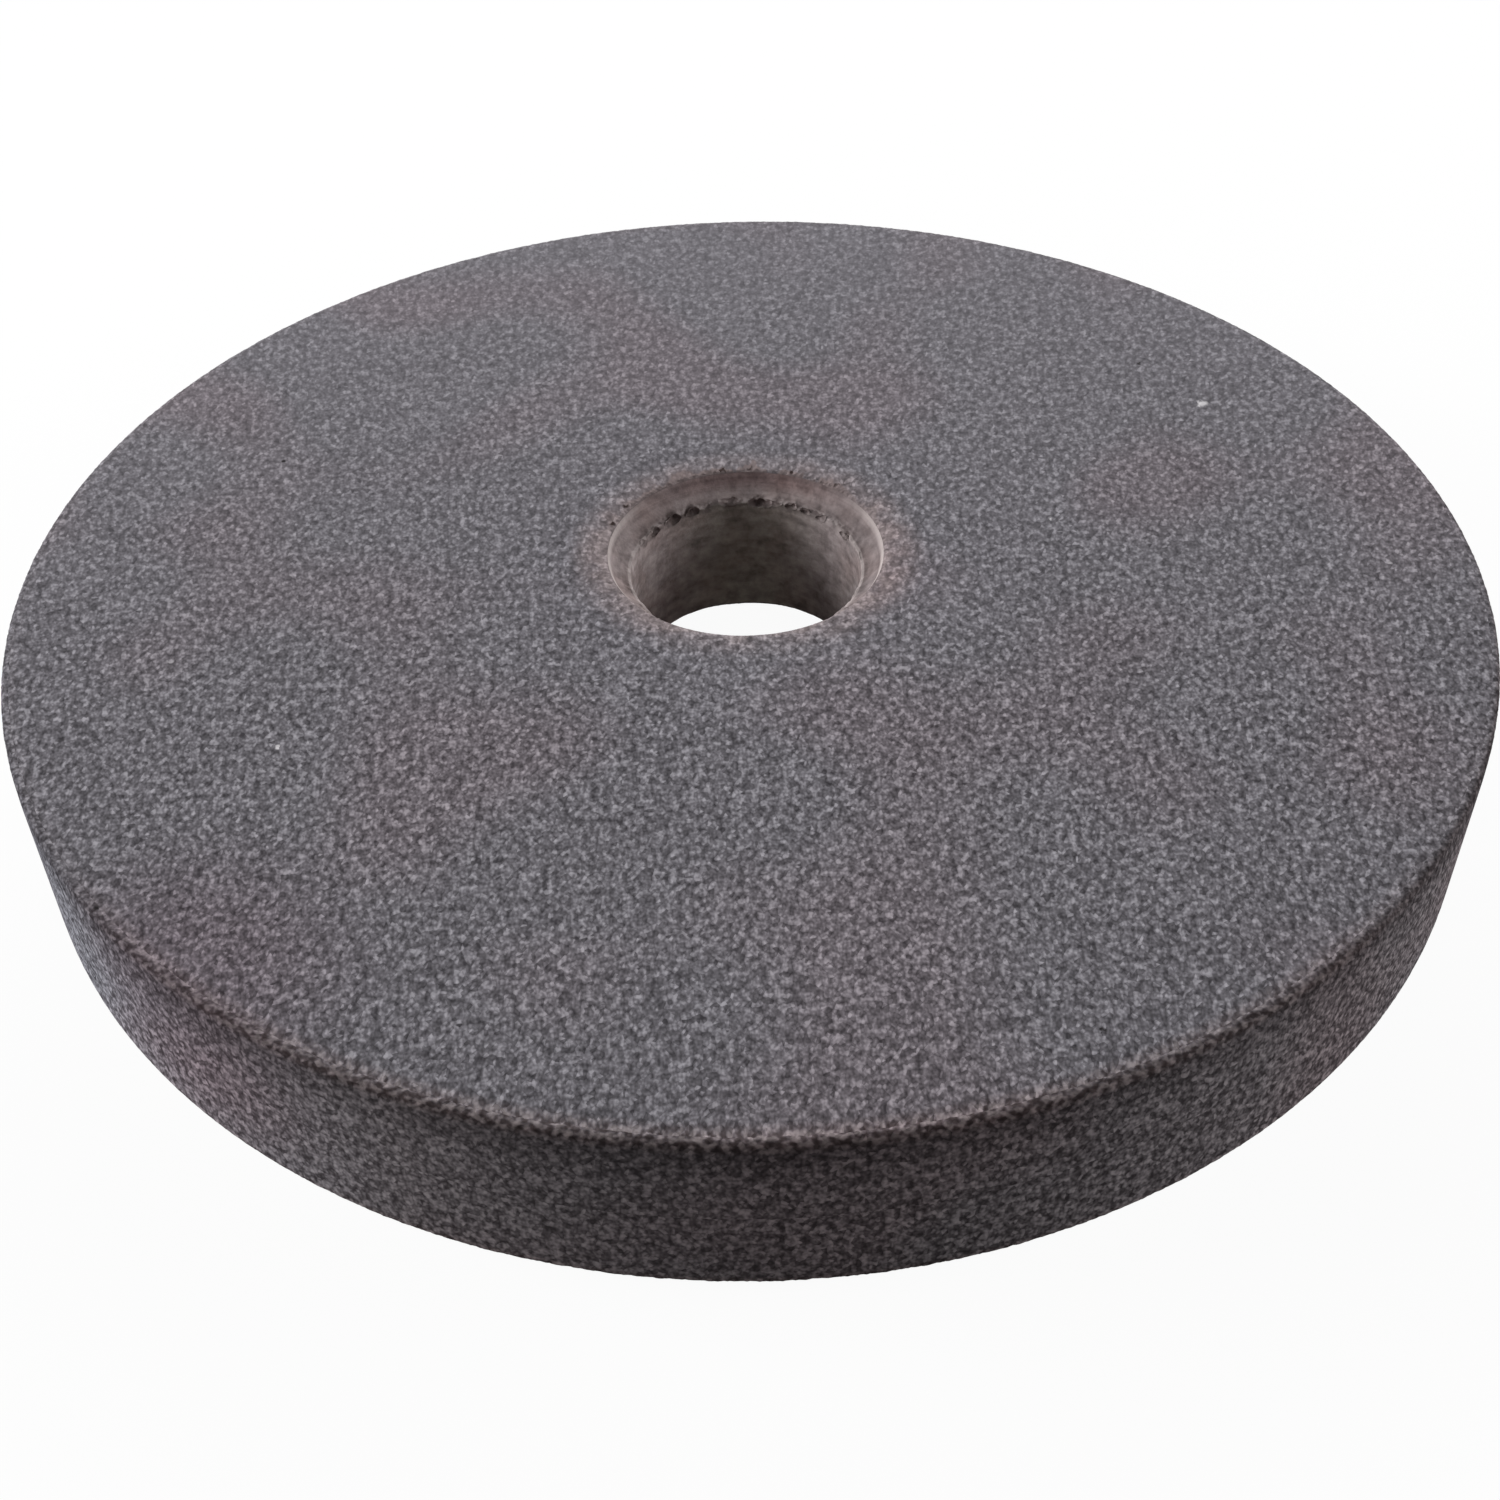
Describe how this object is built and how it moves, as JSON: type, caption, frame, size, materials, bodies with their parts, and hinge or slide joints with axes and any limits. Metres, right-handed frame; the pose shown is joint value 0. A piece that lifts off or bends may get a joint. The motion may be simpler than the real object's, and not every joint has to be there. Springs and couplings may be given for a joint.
{
  "type": "bench grinding wheel",
  "caption": "Straight round grinding wheel of dark grey fired grain, with a brown cast lining that forms its arbor bore.",
  "frame": {"origin": "centre of the bore at the lower side face", "axes": "+Z along the bore axis, from the lower side face to the upper one"},
  "size_m": [0.2, 0.2, 0.025],
  "materials": {
    "fired_grit": "coarse matt fired grain",
    "cast_lining": "matt cement, swirled and chipped"
  },
  "bodies": {
    "root": {"abrasive_wheel": "fired_grit", "bore_lining": "cast_lining"}
  },
  "joints": []
}
